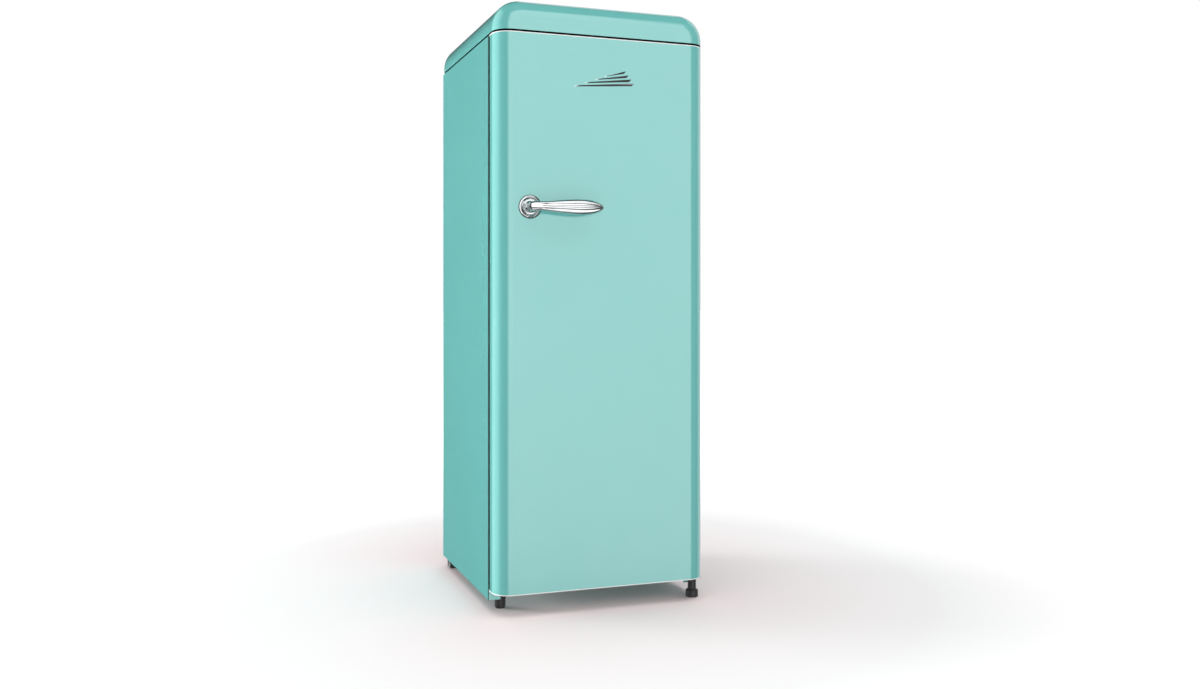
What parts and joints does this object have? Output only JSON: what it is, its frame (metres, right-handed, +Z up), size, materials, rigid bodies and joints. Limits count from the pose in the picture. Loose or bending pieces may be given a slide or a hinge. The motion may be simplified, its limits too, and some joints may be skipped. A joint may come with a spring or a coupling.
{
  "type": "refrigerator",
  "caption": "Tall retro refrigerator with a rounded door hinged on the right, a chrome lever handle, an icebox behind its own flap, glass shelves, door bins and a rounded top cap.",
  "frame": {"origin": "on the floor, under the middle of the object's box", "axes": "+Z up, the door faces -Y, +X towards the hinge side (right of someone facing the door)"},
  "size_m": [0.55, 0.677, 1.492],
  "materials": {
    "body_paint": "gloss",
    "chrome": "polished",
    "white_plastic": "satin",
    "clear_plastic": "gloss",
    "shelf_glass": "polished",
    "bulb_glass": "polished",
    "black_plastic": "satin",
    "grey_rubber": "matte",
    "black_rubber": "matte",
    "zinc_steel": "satin",
    "black_enamel": "satin",
    "pump_iron": "matte",
    "copper": "satin",
    "aluminium": "satin",
    "insulation": "matte",
    "grey_plastic": "satin"
  },
  "bodies": {
    "cabinet": {"left_side_panel": "body_paint", "right_side_panel": "body_paint", "top_cap": "body_paint", "cabinet_top_panel": "body_paint", "base_pan": "body_paint", "inner_liner": "white_plastic", "shelf_rails": "white_plastic", "freezer_box": "white_plastic", "freezer_frame": "white_plastic", "thermostat_housing": "white_plastic", "light_switch": "white_plastic", "shelf_trims": "white_plastic", "lamp_cover": "clear_plastic", "glass_shelves": "shelf_glass", "lamp_bulb": "bulb_glass", "cap_base": "black_plastic", "relay_cover": "black_plastic", "power_inlet": "black_plastic", "wall_spacers": "black_plastic", "evaporation_tray": "black_plastic", "compressor_grommets": "black_rubber", "top_hinge_bracket": "zinc_steel", "bottom_hinge_bracket": "zinc_steel", "cabinet_screws": "zinc_steel", "rear_roller_brackets": "zinc_steel", "compressor_rail": "zinc_steel", "rear_panel": "zinc_steel", "machine_bay_panel": "zinc_steel", "compressor_shell": "black_enamel", "condenser_coil": "black_enamel", "condenser_wires": "black_enamel", "compressor_pump": "pump_iron", "refrigerant_lines": "copper", "filter_drier": "copper", "evaporator_plate": "aluminium", "foam_insulation": "insulation", "freezer_floor_insulation": "insulation", "drain_tube": "grey_plastic", "thermostat_and_lamp_socket": "grey_plastic"},
    "door": {"door_skin": "body_paint", "door_end_caps": "white_plastic", "door_foam": "insulation", "door_liner": "white_plastic", "door_gasket": "grey_rubber", "bottle_bin": "clear_plastic", "door_bins": "clear_plastic", "handle_rosette": "chrome", "handle_lever": "chrome", "handle_fixings": "zinc_steel", "door_emblem": "chrome", "hinge_bushes": "grey_plastic"},
    "crisper": {"crisper_drawer": "clear_plastic"},
    "freezer_door": {"freezer_flap": "white_plastic", "freezer_flap_cover": "white_plastic"},
    "temperature_knob": {"thermostat_knob": "white_plastic"},
    "switch_plunger": {"light_switch_plunger": "white_plastic"},
    "left_foot": {"left_front_foot": "black_plastic"},
    "right_foot": {"right_front_foot": "black_plastic"},
    "left_roller": {"left_rear_roller": "black_plastic"},
    "right_roller": {"right_rear_roller": "black_plastic"}
  },
  "joints": [
    {"name": "door_hinge", "type": "hinge", "parent": "cabinet", "child": "door", "pos_m": [0.257, -0.2555, 0.7335], "axis": [0, 0, 1], "range_deg": [0, 130]},
    {"name": "crisper_slide", "type": "slide", "parent": "cabinet", "child": "crisper", "axis": [0, -1, 0], "range_m": [0, 0.2]},
    {"name": "freezer_flap_hinge", "type": "hinge", "parent": "cabinet", "child": "freezer_door", "pos_m": [0.213, -0.1475, 1.2505], "axis": [0, 0, 1], "range_deg": [0, 78.5]},
    {"name": "light_switch_press", "type": "slide", "parent": "cabinet", "child": "switch_plunger", "axis": [0, -1, 0], "range_m": [0, 0.007]},
    {"name": "thermostat_turn", "type": "hinge", "parent": "cabinet", "child": "temperature_knob", "pos_m": [0.19, -0.0445, 1.08], "axis": [1, 0, 0], "range_deg": [0, 300]},
    {"name": "left_foot_screw", "type": "hinge", "parent": "cabinet", "child": "left_foot", "pos_m": [-0.235, -0.1775, 0.015], "axis": [0, 0, 1], "continuous": true},
    {"name": "right_foot_screw", "type": "hinge", "parent": "cabinet", "child": "right_foot", "pos_m": [0.2585, -0.2415, 0.015], "axis": [0, 0, 1], "continuous": true},
    {"name": "left_roller_spin", "type": "hinge", "parent": "cabinet", "child": "left_roller", "pos_m": [-0.255, 0.2725, 0.012], "axis": [1, 0, 0], "continuous": true},
    {"name": "right_roller_spin", "type": "hinge", "parent": "cabinet", "child": "right_roller", "pos_m": [0.255, 0.2725, 0.012], "axis": [1, 0, 0], "continuous": true}
  ],
  "couplings": [
    {"joint": "crisper_slide", "follows": "door_hinge", "m_per_rad": 0.0881},
    {"joint": "freezer_flap_hinge", "follows": "door_hinge", "ratio": 0.6},
    {"joint": "light_switch_press", "follows": "door_hinge", "m_per_rad": 0.00308}
  ]
}
